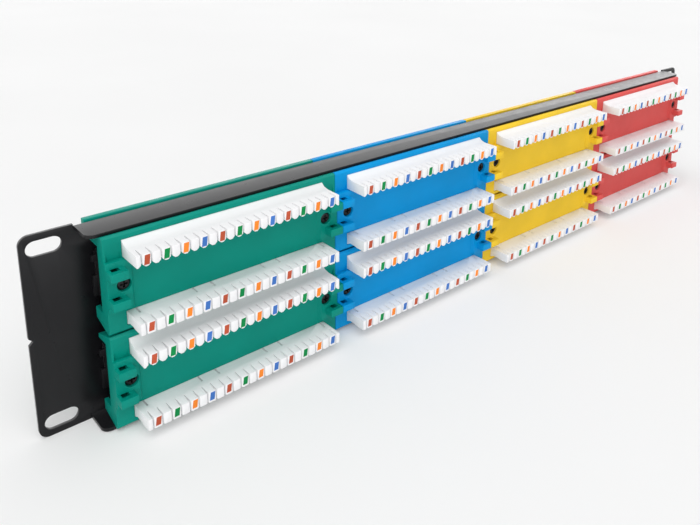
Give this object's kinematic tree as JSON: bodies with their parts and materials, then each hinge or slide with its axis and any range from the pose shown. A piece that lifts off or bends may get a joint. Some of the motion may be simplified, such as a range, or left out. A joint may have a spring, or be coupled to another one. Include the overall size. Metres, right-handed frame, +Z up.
{
  "type": "patch panel",
  "caption": "Rack patch panel: folded steel frame with slotted ears, coloured jack modules in front and toothed wiring strips on coloured covers behind.",
  "frame": {"origin": "centre of the four rack slots, on the rear face of the ears, which meets the rack rail", "axes": "+X along the panel, +Y to the rear where the wiring strips are, +Z up; the jacks face -Y"},
  "size_m": [0.4826, 0.0345, 0.0882],
  "materials": {
    "black_paint": "semi-gloss powder coat",
    "black_plastic": "moulded, fine texture",
    "white_plastic": "moulded, satin",
    "board": "solder mask",
    "green_plastic": "moulded, satin",
    "blue_plastic": "moulded, satin",
    "yellow_plastic": "moulded, satin",
    "red_plastic": "moulded, satin"
  },
  "bodies": {
    "root": {"frame": "black_paint", "green_upper_jack_bezel": "green_plastic", "green_upper_jack_housing": "black_plastic", "green_upper_circuit_board": "board", "green_upper_rear_cover": "green_plastic", "green_upper_upper_strip": "white_plastic", "green_upper_lower_strip": "white_plastic", "green_lower_jack_bezel": "green_plastic", "green_lower_jack_housing": "black_plastic", "green_lower_circuit_board": "board", "green_lower_rear_cover": "green_plastic", "green_lower_upper_strip": "white_plastic", "green_lower_lower_strip": "white_plastic", "blue_upper_jack_bezel": "blue_plastic", "blue_upper_jack_housing": "black_plastic", "blue_upper_circuit_board": "board", "blue_upper_rear_cover": "blue_plastic", "blue_upper_upper_strip": "white_plastic", "blue_upper_lower_strip": "white_plastic", "blue_lower_jack_bezel": "blue_plastic", "blue_lower_jack_housing": "black_plastic", "blue_lower_circuit_board": "board", "blue_lower_rear_cover": "blue_plastic", "blue_lower_upper_strip": "white_plastic", "blue_lower_lower_strip": "white_plastic", "yellow_upper_jack_bezel": "yellow_plastic", "yellow_upper_jack_housing": "black_plastic", "yellow_upper_circuit_board": "board", "yellow_upper_rear_cover": "yellow_plastic", "yellow_upper_upper_strip": "white_plastic", "yellow_upper_lower_strip": "white_plastic", "yellow_lower_jack_bezel": "yellow_plastic", "yellow_lower_jack_housing": "black_plastic", "yellow_lower_circuit_board": "board", "yellow_lower_rear_cover": "yellow_plastic", "yellow_lower_upper_strip": "white_plastic", "yellow_lower_lower_strip": "white_plastic", "red_upper_jack_bezel": "red_plastic", "red_upper_jack_housing": "black_plastic", "red_upper_circuit_board": "board", "red_upper_rear_cover": "red_plastic", "red_upper_upper_strip": "white_plastic", "red_upper_lower_strip": "white_plastic", "red_lower_jack_bezel": "red_plastic", "red_lower_jack_housing": "black_plastic", "red_lower_circuit_board": "board", "red_lower_rear_cover": "red_plastic", "red_lower_upper_strip": "white_plastic", "red_lower_lower_strip": "white_plastic"}
  },
  "joints": []
}
